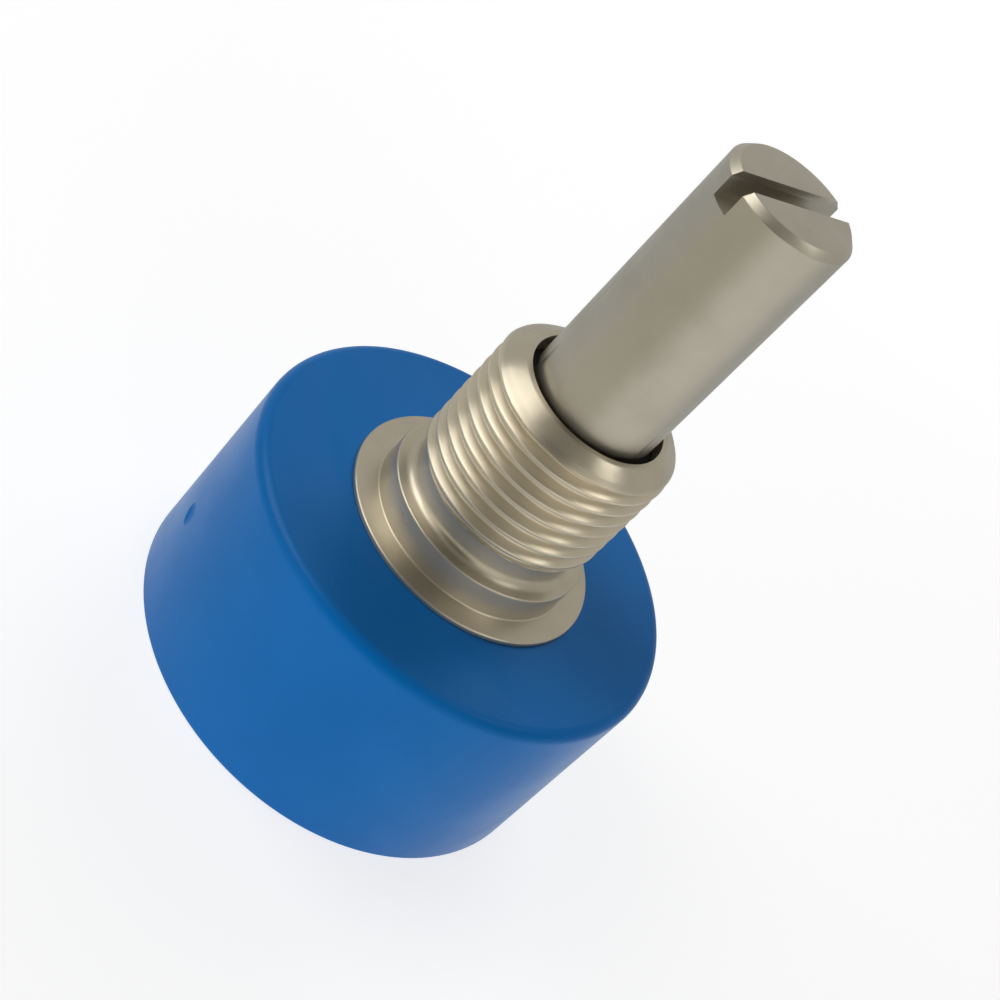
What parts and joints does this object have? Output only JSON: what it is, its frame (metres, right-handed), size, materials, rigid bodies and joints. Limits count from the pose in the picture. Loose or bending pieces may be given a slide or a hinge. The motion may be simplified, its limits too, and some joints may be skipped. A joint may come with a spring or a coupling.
{
  "type": "precision potentiometer",
  "caption": "Round bushing-mount precision potentiometer: moulded housing, threaded bushing with a flanged seat, slotted shaft that turns a brush wiper, and solder lugs at the rear.",
  "frame": {"origin": "centre of the flat rear face, which the part stands on", "axes": "+Z along the shaft towards its slotted tip, +Y towards the middle solder lug, +X to the right"},
  "size_m": [0.0222, 0.0276, 0.0336],
  "materials": {
    "housing_blue": "semi-gloss moulded blue plastic",
    "cover_black": "matt moulded black plastic",
    "bushing_nickel": "bright warm nickel plate on brass",
    "shaft_steel": "fine-turned stainless steel",
    "spring_steel": "dark spring steel",
    "washer_bronze": "phosphor bronze sheet",
    "carrier_nylon": "natural moulded nylon",
    "brush_alloy": "pale precious-metal wire",
    "board_laminate": "brown laminate board",
    "track_carbon": "smooth black conductive plastic",
    "silver_ink": "matt printed silver",
    "terminal_plated": "gold-plated brass"
  },
  "bodies": {
    "stator": {"housing": "housing_blue", "rear_cover": "cover_black", "bushing": "bushing_nickel", "element_board": "board_laminate", "resistance_track": "track_carbon", "collector_ring": "silver_ink", "end_pad_left": "silver_ink", "end_pad_right": "silver_ink", "terminal_left": "terminal_plated", "terminal_wiper": "terminal_plated", "terminal_right": "terminal_plated", "rivet_left": "terminal_plated", "rivet_wiper": "terminal_plated", "rivet_right": "terminal_plated"},
    "rotor": {"shaft": "shaft_steel", "front_snap_ring": "spring_steel", "thrust_washer": "washer_bronze", "wave_washer": "spring_steel", "wiper_carrier": "carrier_nylon", "carrier_clip": "spring_steel", "wiper_spring": "washer_bronze", "track_brush": "brush_alloy", "collector_brush": "brush_alloy"}
  },
  "joints": [
    {"name": "shaft_turn", "type": "hinge", "parent": "stator", "child": "rotor", "pos_m": [0, 0, 0], "axis": [0, 0, 1], "continuous": true}
  ]
}
